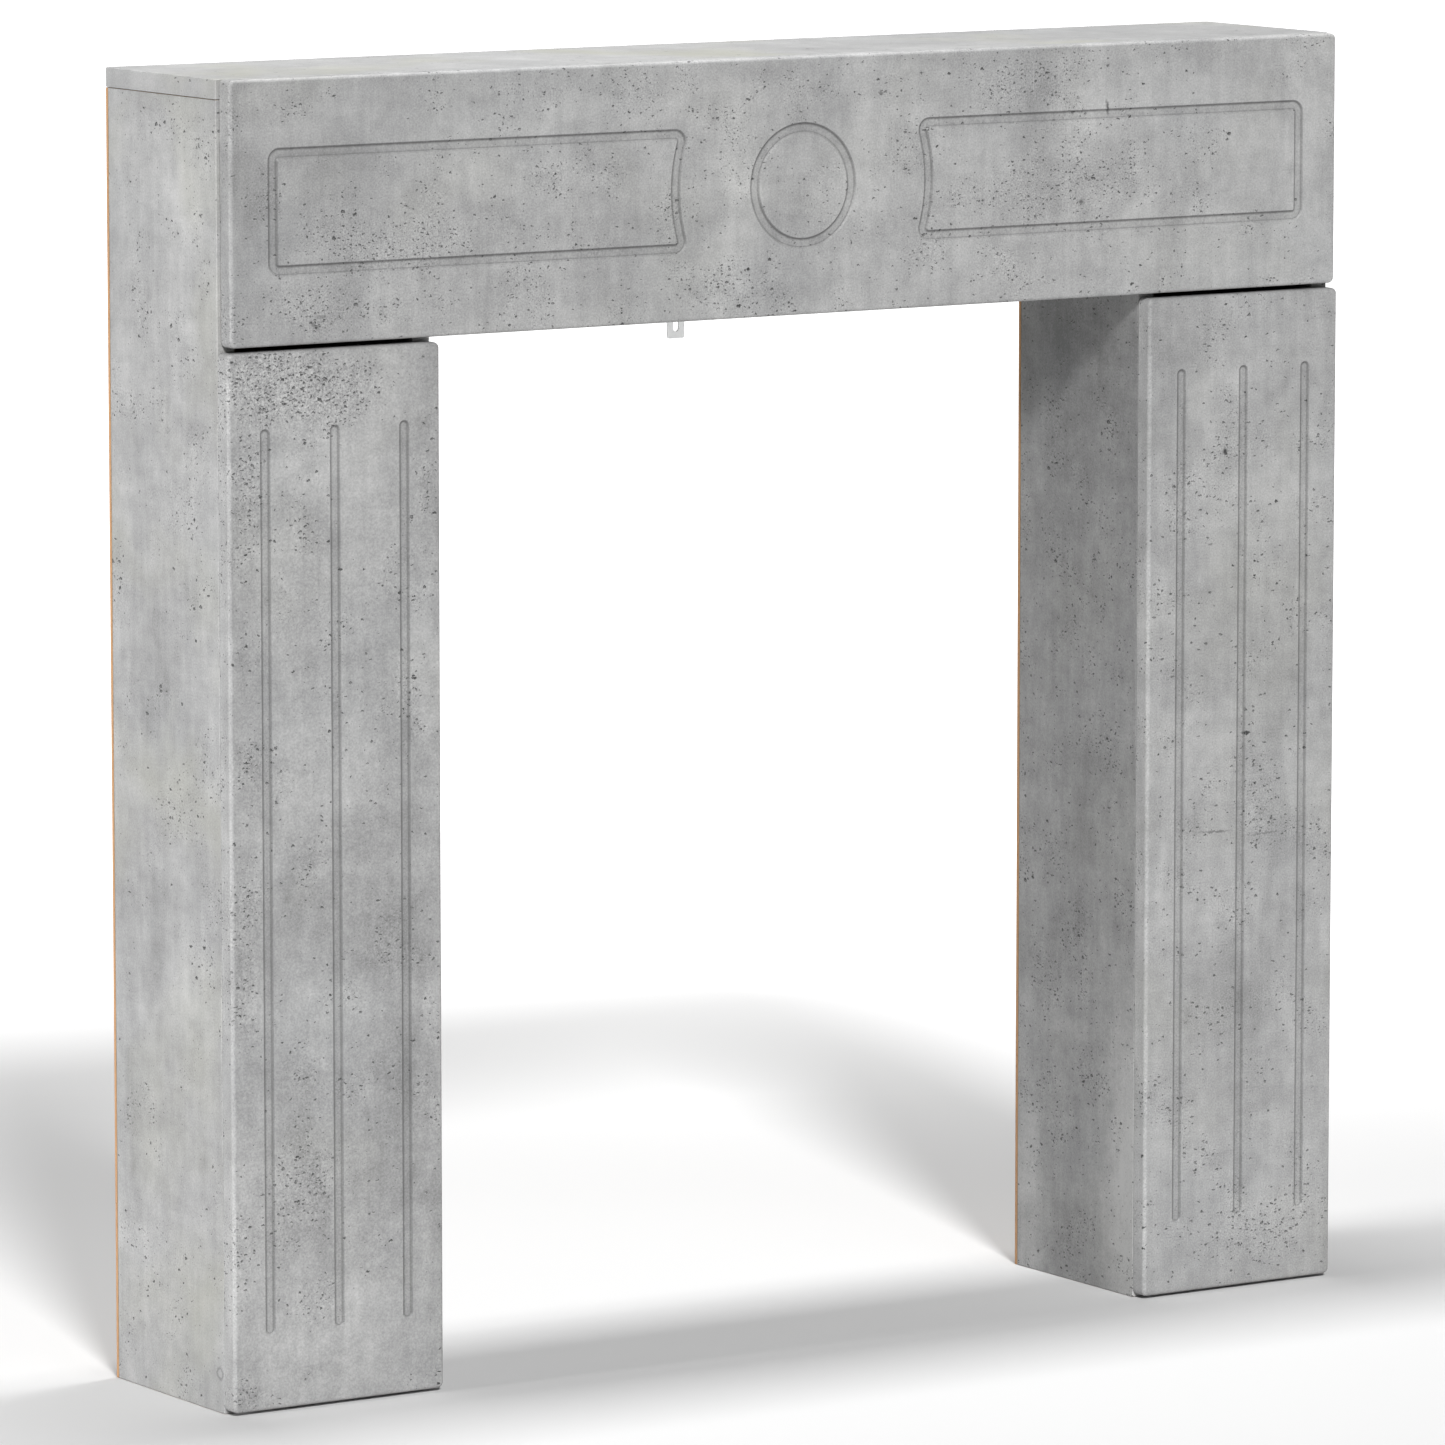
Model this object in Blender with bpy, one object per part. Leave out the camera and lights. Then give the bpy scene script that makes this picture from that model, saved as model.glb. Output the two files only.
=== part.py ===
"""Fireplace surround of foil-covered boards, with fluted legs and a panelled header.

It runs with blender --background --python part.py, or from the text editor.
Lengths are in metres. +Z is up and the front faces -Y. The origin is on the floor,
in the middle of the footprint.
"""

import math

import bmesh
import bpy

# Overall sizes, with the depth measured from the front face to the leg backs
width = 1.016
height = 1.000
depth = 0.180
leg_width = 0.183
header_height = 0.198

# Boards, and the gap left between pieces that touch
board = 0.015
back_sheet = 0.003
eased_edge = 0.0005
touch = 0.0003

# Front boards: the header stops short of the sides, and of the leg boards below it
header_inset = 0.003
header_gap = 0.004
floor_clearance = 0.0025
edge_radius = 0.003
face_corner_radius = 0.0015

# Section of every routed groove: a flat floor between two sloping walls
groove_width = 0.0096
groove_wall = 0.0021
groove_depth = 0.0011

# Flutes on each leg board, with margins from the board's edges to the cut
flute_count = 3
flute_side_margin = 0.0267
flute_end_margin = 0.0563

# Header carving: a ring in the middle and a long panel on each side of it
ring_margin = 0.050
panel_margin = 0.0507
panel_end_margin = 0.0317
ring_to_panel = 0.062
panel_arc_radius = 0.133

# Wall bracket, a slotted strap that hangs below the back rail
bracket_width = 0.0156
bracket_thickness = 0.002
bracket_corner = 0.0015
bracket_drop = 0.0325
bracket_top_margin = 0.012
slot_width = 0.005
slot_margin = 0.0055

# Countersunk screw that holds the bracket on the rail
screw_height = 0.018
screw_shank_radius = 0.00175
screw_end_margin = 0.004
screw_tip = 0.002

# Faces around each rounded form
edge_steps = 4
corner_steps = 4
end_steps = 10
fan_steps = 6
arc_steps = 12
ring_steps = 64
hole_steps = 20

# Places that follow from the sizes
overall_depth = depth + touch + bracket_thickness
side_top = height - board - touch
opening_half_width = width / 2 - leg_width
header_bottom = height - header_height
leg_front_top = header_bottom - header_gap
leg_centre = (width - leg_width) / 2
header_half_width = width / 2 - header_inset
cutter_lift = 0.002

# Colours of the real surfaces, linear
concrete_grey = (0.42, 0.42, 0.41)
hardboard_tan = (0.52, 0.29, 0.15)
bracket_grey = (0.62, 0.63, 0.63)
zinc_grey = (0.55, 0.56, 0.57)


def clear_scene():
    """Remove whatever the open file holds."""
    for item in list(bpy.data.objects):
        bpy.data.objects.remove(item, do_unlink=True)


def surface(name, colour, roughness, metallic=0.0):
    """A plain material in the real surface's colour."""
    material = bpy.data.materials.new(name)
    material.use_nodes = True
    shader = material.node_tree.nodes["Principled BSDF"]
    shader.inputs["Base Color"].default_value = (*colour, 1.0)
    shader.inputs["Roughness"].default_value = roughness
    shader.inputs["Metallic"].default_value = metallic
    return material


def place(name, mesh, parent, location, material=None):
    """Put a mesh in the scene as one object, measured from its parent."""
    item = bpy.data.objects.new(name, mesh)
    bpy.context.scene.collection.objects.link(item)
    item.parent = parent
    item.location = location
    if material is not None:
        mesh.materials.append(material)
        mesh.shade_smooth()
        mesh.set_sharp_from_angle(angle=math.radians(30))
    return item


def finish_mesh(name, shape):
    """Turn a closed bmesh into a mesh whose faces point out."""
    bmesh.ops.remove_doubles(shape, verts=shape.verts, dist=0.000001)
    bmesh.ops.recalc_face_normals(shape, faces=shape.faces)
    mesh = bpy.data.meshes.new(name)
    shape.to_mesh(mesh)
    shape.free()
    return mesh


def arc(centre_x, centre_z, radius, start, end, steps):
    """Points along an arc in the board's plane, with both ends, angles in degrees."""
    points = []
    for step in range(steps + 1):
        angle = math.radians(start + (end - start) * step / steps)
        points.append((centre_x + radius * math.cos(angle), centre_z + radius * math.sin(angle)))
    return points


def rounded_rectangle(half_width, half_height, radius, steps):
    """Outline of a rectangle about the origin, with round corners."""
    x = half_width - radius
    z = half_height - radius
    return (arc(x, z, radius, 0, 90, steps) + arc(-x, z, radius, 90, 180, steps)
            + arc(-x, -z, radius, 180, 270, steps) + arc(x, -z, radius, 270, 360, steps))


def round_ended_slot(x, low, high, radius):
    """Outline of an upright slot whose ends are half circles."""
    return (arc(x, high - radius, radius, 0, 180, end_steps)
            + arc(x, low + radius, radius, 180, 360, end_steps))


def loft(name, sections):
    """Closed mesh through outlines of as many points each, at the depths given."""
    shape = bmesh.new()
    loops = []
    for outline, y in sections:
        loops.append([shape.verts.new((x, y, z)) for x, z in outline])
    for near, far in zip(loops, loops[1:]):
        for index, vertex in enumerate(near):
            following = (index + 1) % len(near)
            shape.faces.new((vertex, near[following], far[following], far[index]))
    shape.faces.new(loops[0])
    shape.faces.new(loops[-1])
    return finish_mesh(name, shape)


def eased_board(name, low, high, parent, material):
    """Square board between two corners, its edges just eased."""
    size = [b - a for a, b in zip(low, high)]
    middle = [(a + b) / 2 for a, b in zip(low, high)]
    shape = bmesh.new()
    bmesh.ops.create_cube(shape, size=1.0)
    bmesh.ops.scale(shape, vec=size, verts=shape.verts)
    item = place(name, finish_mesh(name, shape), parent, middle, material)
    ease = item.modifiers.new("eased edges", "BEVEL")
    ease.width = eased_edge
    ease.segments = 1
    ease.limit_method = "ANGLE"
    return item


def front_board(name, half_width, half_height, parent, location, material):
    """Front board, its face edges and its outline corners rounded."""
    sections = []
    outer_radius = edge_radius + face_corner_radius
    outline = rounded_rectangle(half_width, half_height, outer_radius, corner_steps)
    sections.append((outline, board))
    for step in range(edge_steps + 1):
        angle = math.radians(90 * step / edge_steps)
        inset = edge_radius * (1 - math.cos(angle))
        y = edge_radius * (1 - math.sin(angle))
        radius = outer_radius - inset
        outline = rounded_rectangle(half_width - inset, half_height - inset, radius, corner_steps)
        sections.append((outline, y))
    return place(name, loft(name, sections), parent, location, material)


def cut(item, mesh, location=(0.0, 0.0, 0.0)):
    """Cut a mesh out of an object, from a cutter that stays hidden."""
    cutter = place(mesh.name, mesh, item, location)
    cutter.hide_render = True
    cutter.display_type = "WIRE"
    boolean = item.modifiers.new(mesh.name, "BOOLEAN")
    boolean.operation = "DIFFERENCE"
    boolean.solver = "EXACT"
    boolean.object = cutter


def flute_cutter(name, x, half_length):
    """Straight groove with round ends, about the board's middle."""
    top = groove_width / 2
    floor = top - groove_wall
    face = round_ended_slot(x, -half_length, half_length, top)
    bed = round_ended_slot(x, -half_length + groove_wall, half_length - groove_wall, floor)
    return loft(name, [(face, -cutter_lift), (face, 0.0), (bed, groove_depth)])


def outline_groove(name, stations):
    """Groove that runs once round an outline, on its outer side.

    Each station is a point of the outline and the direction pointing out of it. At a
    sharp corner several directions share the point, so the groove turns round it.
    """
    section = [(0.0, -cutter_lift), (0.0, 0.0), (groove_wall, groove_depth),
               (groove_width - groove_wall, groove_depth), (groove_width, 0.0), (groove_width, -cutter_lift)]
    shape = bmesh.new()
    rows = []
    for (x, z), (out_x, out_z) in stations:
        rows.append([shape.verts.new((x + out_x * offset, y, z + out_z * offset)) for offset, y in section])
    for row, following in zip(rows, rows[1:] + rows[:1]):
        for index in range(len(section)):
            after = (index + 1) % len(section)
            corners = (row[index], row[after], following[after], following[index])
            shape.faces.new(corners)
    bmesh.ops.dissolve_degenerate(shape, edges=shape.edges, dist=0.000001)
    return finish_mesh(name, shape)


def turned_directions(point, start, end, steps):
    """Stations that swing round one point, from one angle to another in degrees."""
    return [(point, direction) for direction in arc(0.0, 0.0, 1.0, start, end, steps)]


def ring_stations(radius):
    """Stations round a circle, each pointing away from its centre."""
    directions = arc(0.0, 0.0, 1.0, 0, 360, ring_steps)[:-1]
    return [((radius * x, radius * z), (x, z)) for x, z in directions]


def panel_stations(side, near, far, half_height):
    """Stations round a panel that is hollowed at the end next to the ring."""
    centre = near - panel_arc_radius
    lean = math.degrees(math.asin(half_height / panel_arc_radius))
    corner = centre + math.sqrt(panel_arc_radius ** 2 - half_height ** 2)
    stations = turned_directions((far, half_height), 0, 90, fan_steps)
    stations += turned_directions((corner, half_height), 90, 180 + lean, fan_steps)
    hollow = arc(centre, 0.0, panel_arc_radius, lean, -lean, arc_steps)[1:-1]
    stations += [((x, z), ((centre - x) / panel_arc_radius, -z / panel_arc_radius)) for x, z in hollow]
    stations += turned_directions((corner, -half_height), 180 - lean, 270, fan_steps)
    stations += turned_directions((far, -half_height), 270, 360, fan_steps)
    return [((side * x, z), (side * out_x, out_z)) for (x, z), (out_x, out_z) in stations]


def build_sides(parent, foil, hardboard):
    """Outer and inner side boards and the thin back of each leg."""
    front = board + touch
    back = depth - back_sheet - touch
    for side, word in ((-1, "left"), (1, "right")):
        outer = sorted((side * width / 2, side * (width / 2 - board)))
        inner = sorted((side * opening_half_width, side * (opening_half_width + board)))
        leg = sorted((side * opening_half_width, side * width / 2))
        for name, (low, high) in (("outer_side", outer), ("inner_side", inner)):
            eased_board(f"{word}_{name}", (low, front, 0.0), (high, back, side_top), parent, foil)
        sheet_low = (leg[0], depth - back_sheet, 0.0)
        sheet_high = (leg[1], depth, side_top)
        eased_board(f"{word}_leg_back", sheet_low, sheet_high, parent, hardboard)


def build_leg_fronts(parent, foil):
    """Fluted front boards of the legs."""
    half_height = (leg_front_top - floor_clearance) / 2
    half_length = half_height - flute_end_margin
    reach = leg_width / 2 - flute_side_margin - groove_width / 2
    pitch = 2 * reach / max(flute_count - 1, 1)
    for side, word in ((-1, "left"), (1, "right")):
        name = f"{word}_leg_front"
        location = (side * leg_centre, 0.0, floor_clearance + half_height)
        leg = front_board(name, leg_width / 2, half_height, parent, location, foil)
        for number in range(flute_count):
            x = (number - (flute_count - 1) / 2) * pitch
            cut(leg, flute_cutter(f"{word}_flute_{number + 1}", x, half_length))


def build_header(parent, foil):
    """Header board with its ring and two panels, and the shelf on top."""
    half_height = header_height / 2
    location = (0.0, 0.0, height - half_height)
    header = front_board("header_front", header_half_width, half_height, parent, location, foil)
    ring_outer = half_height - ring_margin
    cut(header, outline_groove("header_ring", ring_stations(ring_outer - groove_width)))
    near = ring_outer + ring_to_panel + groove_width
    far = header_half_width - panel_end_margin - groove_width
    panel_half_height = half_height - panel_margin - groove_width
    for side, word in ((-1, "left"), (1, "right")):
        stations = panel_stations(side, near, far, panel_half_height)
        cut(header, outline_groove(f"header_{word}_panel", stations))
    low = (-width / 2, board + touch, height - board)
    high = (width / 2, depth, height)
    eased_board("mantel_top", low, high, parent, foil)


def screw_profile():
    """Half section of the screw, as radius and distance in from the bracket's back face."""
    head_radius = screw_shank_radius + bracket_thickness
    length = bracket_thickness + touch + board - screw_end_margin
    return [(head_radius, 0.0), (screw_shank_radius, bracket_thickness),
            (screw_shank_radius, length - screw_tip), (screw_shank_radius / 3, length)]


def hole_profile():
    """Half section of the countersunk hole, a small clearance larger than the screw."""
    head, neck, _, end = screw_profile()
    mouth_radius = head[0] + touch
    hole_radius = neck[0] + touch
    return [(mouth_radius + cutter_lift, -cutter_lift), (mouth_radius, head[1]),
            (hole_radius, neck[1]), (hole_radius, end[1] + touch)]


def turned_about_y(name, profile):
    """Closed mesh turned about the Y axis, from its back end forwards."""
    sections = [(arc(0.0, 0.0, radius, 0, 360, hole_steps)[:-1], -inward) for radius, inward in profile]
    return loft(name, sections)


def build_rail_and_bracket(parent, foil, painted, zinc):
    """Back rail between the legs, with the strap that fixes the surround to a wall."""
    half_rail = opening_half_width - touch
    low = (-half_rail, depth - board, header_bottom)
    high = (half_rail, depth, side_top)
    rail = eased_board("header_back_rail", low, high, parent, foil)

    bracket_low = header_bottom - bracket_drop
    bracket_high = header_bottom + screw_height + bracket_top_margin
    half_height = (bracket_high - bracket_low) / 2
    bracket_front = depth + touch
    bracket_back = bracket_front + bracket_thickness
    outline = rounded_rectangle(bracket_width / 2, half_height, bracket_corner, corner_steps)
    plate = loft("wall_bracket", [(outline, 0.0), (outline, bracket_thickness)])
    location = (0.0, bracket_front, bracket_low + half_height)
    bracket = place("wall_bracket", plate, parent, location, painted)
    slot_low = slot_margin - half_height
    slot_high = bracket_drop - slot_margin - half_height
    slot = round_ended_slot(0.0, slot_low, slot_high, slot_width / 2)
    cut(bracket, loft("bracket_slot", [(slot, -cutter_lift), (slot, bracket_thickness + cutter_lift)]))

    screw_place = (0.0, bracket_back, header_bottom + screw_height)
    screw = turned_about_y("bracket_screw", screw_profile())
    place("bracket_screw", screw, parent, screw_place, zinc)
    for item, name in ((bracket, "bracket_hole"), (rail, "rail_hole")):
        offset = [b - a for a, b in zip(item.location, screw_place)]
        cut(item, turned_about_y(name, hole_profile()), offset)


def main():
    clear_scene()
    surround = bpy.data.objects.new("surround", None)
    surround.location = (0.0, -overall_depth / 2, 0.0)
    bpy.context.scene.collection.objects.link(surround)
    foil = surface("concrete_foil", concrete_grey, 0.55)
    hardboard = surface("hardboard", hardboard_tan, 0.75)
    painted = surface("painted_steel", bracket_grey, 0.45)
    zinc = surface("zinc_plate", zinc_grey, 0.35, 1.0)
    build_sides(surround, foil, hardboard)
    build_leg_fronts(surround, foil)
    build_header(surround, foil)
    build_rail_and_bracket(surround, foil, painted, zinc)


main()
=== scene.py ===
"""Fireplace surround in concrete-print boards, dressed for a close look.

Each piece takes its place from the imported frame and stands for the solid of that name.
Lengths are in metres, +Z is up and the front faces -Y.
"""

import math
from functools import partial

import bmesh
import bpy
from bpy.props import FloatProperty, FloatVectorProperty, IntProperty, PointerProperty
from bpy.types import Operator, Panel, PropertyGroup
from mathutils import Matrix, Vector


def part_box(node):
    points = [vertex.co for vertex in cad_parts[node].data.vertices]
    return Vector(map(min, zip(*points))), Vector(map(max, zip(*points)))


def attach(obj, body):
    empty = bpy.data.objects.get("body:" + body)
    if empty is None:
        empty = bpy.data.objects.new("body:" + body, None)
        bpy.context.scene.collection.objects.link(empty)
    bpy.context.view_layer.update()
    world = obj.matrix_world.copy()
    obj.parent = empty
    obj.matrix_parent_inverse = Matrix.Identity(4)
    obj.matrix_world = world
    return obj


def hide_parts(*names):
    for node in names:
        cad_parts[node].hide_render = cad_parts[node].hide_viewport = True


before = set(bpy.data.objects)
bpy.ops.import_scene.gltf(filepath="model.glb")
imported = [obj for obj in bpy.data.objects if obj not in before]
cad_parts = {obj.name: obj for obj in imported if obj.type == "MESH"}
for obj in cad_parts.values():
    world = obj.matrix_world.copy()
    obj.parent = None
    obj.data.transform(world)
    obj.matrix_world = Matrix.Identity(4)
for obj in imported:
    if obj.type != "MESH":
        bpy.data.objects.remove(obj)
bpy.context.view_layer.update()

bl_info = {
    "name": "Fireplace surround",
    "version": (1, 0, 0),
    "blender": (4, 5, 0),
    "location": "3D View > Sidebar > Surround",
    "description": "Builds a fireplace surround of foil-wrapped boards around its packed solids",
    "category": "Object",
}

# Attribute that holds the painted shade of the grooves and the painted light or shade of the left
# edges, and how far a cutter reaches past a face
painted_shading = "painted_shading"
cutter_lift = 0.002

# Inputs of the node that mixes two colours
share_over, under, over = 0, 6, 7


def linear(text):
    """Turn an sRGB hex colour into the linear colour that the shaders take."""
    channels = [int(text[place:place + 2], 16) / 255 for place in (1, 3, 5)]
    return tuple(c / 12.92 if c <= 0.04045 else ((c + 0.055) / 1.055) ** 2.4 for c in channels)


def length(label, about, default, high=0.5):
    """A length that the sidebar shows in the scene's unit."""
    return FloatProperty(name=label, description=about, default=default, min=0.0, max=high,
                         unit="LENGTH", precision=4)


def colour(label, about, text):
    """A colour that the sidebar shows as a swatch."""
    return FloatVectorProperty(name=label, description=about, default=linear(text), size=3,
                               min=0.0, max=1.0, subtype="COLOR")


def share(label, about, default, high=1.0):
    """A plain number from nothing to the highest that makes sense."""
    return FloatProperty(name=label, description=about, default=default, min=0.0, max=high,
                         subtype="FACTOR", precision=3)


# Sizes and colours that a user would change


class SurroundShape(PropertyGroup):
    """Sizes of the routed and rounded forms on the boards."""

    front_edge: length("Front edge", "Rounding round the face of a front board", 0.003)
    front_corner: length("Front corner", "Rounding left at the face's own corners", 0.0015)
    rear_edge: length("Rear edge", "Rounding on the back edge of a front board", 0.0006)
    board_edge: length("Board edge", "Rounding on the long edges of the plain boards", 0.0009)
    sheet_edge: length("Sheet edge", "Rounding on the edges of the thin backs", 0.0004)
    groove_width: length("Groove width", "Width of a routed groove at the face", 0.0096)
    groove_wall: length("Groove wall", "Width that one sloping wall takes", 0.0021)
    groove_depth: length("Groove depth", "Depth of the flat floor of a groove", 0.0011)
    groove_lip: length("Groove lip", "Rounding where the wall leaves the face", 0.0006)
    groove_foot: length("Groove foot", "Rounding where the wall meets the floor", 0.0006)
    groove_dish: length("Groove dish", "Width over which the floor flattens beside a wall", 0.0010)
    groove_slope: FloatProperty(name="Groove slope", description="Steepness of a wall between its roundings",
                                default=math.radians(36), min=0.5, max=1.5, subtype="ANGLE")
    # Painted shade: how light the foil is left on a groove's floor and on an overhanging wall
    floor_painted_shade_tone: share("Floor tone", "How light the foil stays on a groove's floor", 0.88)
    wall_painted_shade_tone: share("Wall tone", "How light the foil stays on an overhanging wall", 0.42)
    flute_side: length("Flute side margin", "From the board's side to the first flute", 0.0267)
    flute_end: length("Flute end margin", "From the board's end to a flute", 0.0563)
    ring_margin: length("Ring margin", "From the header's top to the ring", 0.050)
    panel_margin: length("Panel margin", "From the header's top to a panel's groove", 0.0507)
    panel_end: length("Panel end margin", "From the header's end to a panel's groove", 0.0317)
    ring_to_panel: length("Ring to panel", "From the ring to a panel's groove", 0.062)
    panel_arc: length("Panel hollow", "Radius of the hollow end of a panel", 0.133)
    island_corner: length("Panel corner", "Rounding left at a panel's own corners", 0.0009)
    flute_count: IntProperty(name="Flutes", description="Flutes on each leg", default=3, min=1, max=9)


class SurroundBracket(PropertyGroup):
    """Sizes of the wall strap and its screw."""

    strap_edge: length("Strap edge", "Softened edge of the coated steel", 0.0004)
    strap_corner: length("Strap corner", "Round corner of the strap", 0.0015)
    slot_width: length("Slot width", "Width of the hanging slot", 0.005)
    slot_margin: length("Slot margin", "From the strap's foot to the slot", 0.0055)
    slot_top: length("Slot top", "Height where the slot ends", 0.7965, 1.0)
    screw_height: length("Screw height", "Height of the screw's axis", 0.820, 1.0)
    head_radius: length("Head radius", "Radius of the countersunk head", 0.00375)
    shank_radius: length("Shank radius", "Radius of the screw's core", 0.0014)
    thread_radius: length("Thread radius", "Radius over the screw's thread", 0.00175)
    thread_pitch: length("Thread pitch", "Rise of the thread in one turn", 0.0018)
    recess: length("Recess", "Depth of the cross recess", 0.0013)
    head_height: length("Head height", "Height of the countersunk head", 0.002)
    tip: length("Tip", "Length of the screw's plain tip", 0.0018)
    pilot_depth: length("Pilot depth", "Depth of the screw's hole in the rail", 0.0115)
    clearance: length("Clearance", "Room between the screw and its hole", 0.0003)


class SurroundFinish(PropertyGroup):
    """Colours of the real finishes."""

    print_dark: colour("Print, dark", "Darkest cloud of the concrete print", "#6e6e6e")
    print_mid: colour("Print, middle", "Middle grey of the concrete print", "#9e9e9e")
    print_light: colour("Print, light", "Lightest cloud of the concrete print", "#c8c8c7")
    print_warm: colour("Print, warm", "Faint yellow-green patches of the print", "#a6a694")
    print_cool: colour("Print, cool", "Faint bluish patches of the print", "#969b9f")
    pore: colour("Pores", "Printed air holes", "#3c3c3c")
    hardboard: colour("Hardboard", "Smooth face of the thin backs", "#a98a69")
    hardboard_edge: colour("Hardboard edge", "Sawn edge of the thin backs", "#bb9069")
    core: colour("Board core", "Raw fibreboard under the foil", "#b59a78")
    backing: colour("Backing paper", "Plain paper on a front board's back", "#b9b9b5")
    strap: colour("Strap", "Powder coat on the wall strap", "#f1f2f2")
    zinc: colour("Zinc", "Plating on the screw", "#c3c6c8")


class SurroundStage(PropertyGroup):
    """Floor, lights and camera."""

    floor: colour("Floor", "Matt studio floor", "#ebebeb")
    sky: share("Sky", "Brightness of the white surroundings", 0.08, 4.0)
    key: share("Key light", "Strength of the light from the front and above", 2.82, 20.0)
    key_size: FloatProperty(name="Key softness", description="Angle that the key light spans",
                            default=math.radians(10), min=0.0, max=3.0, subtype="ANGLE")
    side: share("Side light", "Power of the gridded soft box on the left", 15.0, 2000.0)
    overhead: share("Overhead light", "Power of the soft box above the shelf", 54.0, 2000.0)
    strap_spot: share("Strap spot", "Power of the narrow light on the wall strap", 34.0, 500.0)
    floor_glow: share("Floor glow", "Brightness of the lit floor behind the surround", 1.0, 4.0)
    floor_radius: length("Floor radius", "How far the studio floor reaches", 60.0, 200.0)
    lens: FloatProperty(name="Lens", description="Focal length on a 36 mm sensor",
                        default=238.078, min=1.0, max=2000.0, subtype="DISTANCE_CAMERA")
    camera_place: FloatVectorProperty(name="Camera place", description="Where the camera stands",
                                      default=(-4.013655, -6.172445, 1.477558), size=3,
                                      subtype="TRANSLATION", unit="LENGTH")
    camera_turn: FloatVectorProperty(name="Camera turn", description="Tilt, roll and heading of the camera",
                                     default=(math.radians(90 - 7.74011), 0.0, math.radians(-32.93867)),
                                     size=3, subtype="EULER")


# Pieces and their mesh


def corners(node):
    """Lowest and highest corner of a solid of the frame."""
    low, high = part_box(node)
    return Vector(low), Vector(high)


def face_of(node):
    """Middle of a solid as seen from the front, with half its width and half its height."""
    low, high = corners(node)
    middle = ((low.x + high.x) / 2, (low.z + high.z) / 2)
    return middle, (high.x - low.x) / 2, (high.z - low.z) / 2


def rounded_edge(radius, steps):
    """Insets and depths of a rounded edge, from the face to the side of a board."""
    turns = [math.radians(90 * step / steps) for step in range(steps + 1)]
    return [(radius * (1 - math.sin(turn)), radius * (1 - math.cos(turn))) for turn in turns]


def arc(centre_across, centre_up, radius, start, end, steps):
    """Points along an arc in the board's plane, with both ends, angles in degrees."""
    points = []
    for step in range(steps + 1):
        angle = math.radians(start + (end - start) * step / steps)
        points.append((centre_across + radius * math.cos(angle), centre_up + radius * math.sin(angle)))
    return points


def rounded_rectangle(centre, half_width, half_height, radius, steps):
    """Outline of a rectangle about a centre, with round corners."""
    across, up = centre
    x = half_width - radius
    z = half_height - radius
    outline = []
    for start, side, end in ((0, 1, 1), (90, -1, 1), (180, -1, -1), (270, 1, -1)):
        outline += arc(across + side * x, up + end * z, radius, start, start + 90, steps)
    return outline


def round_ended_slot(x, low, high, radius, steps):
    """Outline of an upright slot whose ends are half circles."""
    return (arc(x, high - radius, radius, 0, 180, steps)
            + arc(x, low + radius, radius, 180, 360, steps))


def loft(shape, sections):
    """Skin outlines of as many points each, at the depths given, into one closed form."""
    loops = []
    for outline, y in sections:
        loops.append([shape.verts.new((x, y, z)) for x, z in outline])
    for near, far in zip(loops, loops[1:]):
        for index, vertex in enumerate(near):
            following = (index + 1) % len(near)
            shape.faces.new((vertex, near[following], far[following], far[index]))
    shape.faces.new(loops[0])
    shape.faces.new(loops[-1])


def mesh_from(shape, name):
    """Turn a closed bmesh into a mesh whose faces point out."""
    bmesh.ops.remove_doubles(shape, verts=shape.verts, dist=0.000001)
    bmesh.ops.recalc_face_normals(shape, faces=shape.faces)
    mesh = bpy.data.meshes.new(name)
    shape.to_mesh(mesh)
    shape.free()
    return mesh


def put_in_scene(name, data):
    """Put a mesh, a lamp or a camera in the scene at the origin of the part."""
    item = bpy.data.objects.new(name, data)
    bpy.context.scene.collection.objects.link(item)
    return item


def settle(piece):
    """Apply a piece's modifiers, so that its mesh is its final shape."""
    bpy.context.view_layer.update()
    evaluated = piece.evaluated_get(bpy.context.evaluated_depsgraph_get())
    mesh = bpy.data.meshes.new_from_object(evaluated)
    piece.modifiers.clear()
    old = piece.data
    piece.data = mesh
    bpy.data.meshes.remove(old)


def carve(piece, shape):
    """Cut a closed bmesh out of a piece and keep the cut shape."""
    cutter = put_in_scene("cutter", mesh_from(shape, "cutter"))
    boolean = piece.modifiers.new("cut", "BOOLEAN")
    boolean.operation = "DIFFERENCE"
    boolean.solver = "EXACT"
    boolean.object = cutter
    settle(piece)
    bpy.data.meshes.remove(cutter.data)


def new_piece(node, shape):
    """The piece that is to stand for a solid, from its closed bmesh."""
    return put_in_scene(node + "_finished", mesh_from(shape, node))


def finish_piece(piece, node, material, other=None, chosen=None):
    """Cover and shade a piece, fix it to the body and let it stand for its solid.

    The second material goes on the faces that a test picks. Rounded forms are shaded smooth,
    while flat faces keep their flat shading.
    """
    piece.data.materials.append(material)
    if other:
        piece.data.materials.append(other)
        for face in piece.data.polygons:
            face.material_index = int(chosen(face))
    piece.data.shade_smooth()
    piece.data.set_sharp_from_angle(angle=math.radians(32))
    weighted = piece.modifiers.new("flat faces", "WEIGHTED_NORMAL")
    weighted.keep_sharp = True
    weighted.weight = 60
    settle(piece)
    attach(piece, "root")
    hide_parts(node)


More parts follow.
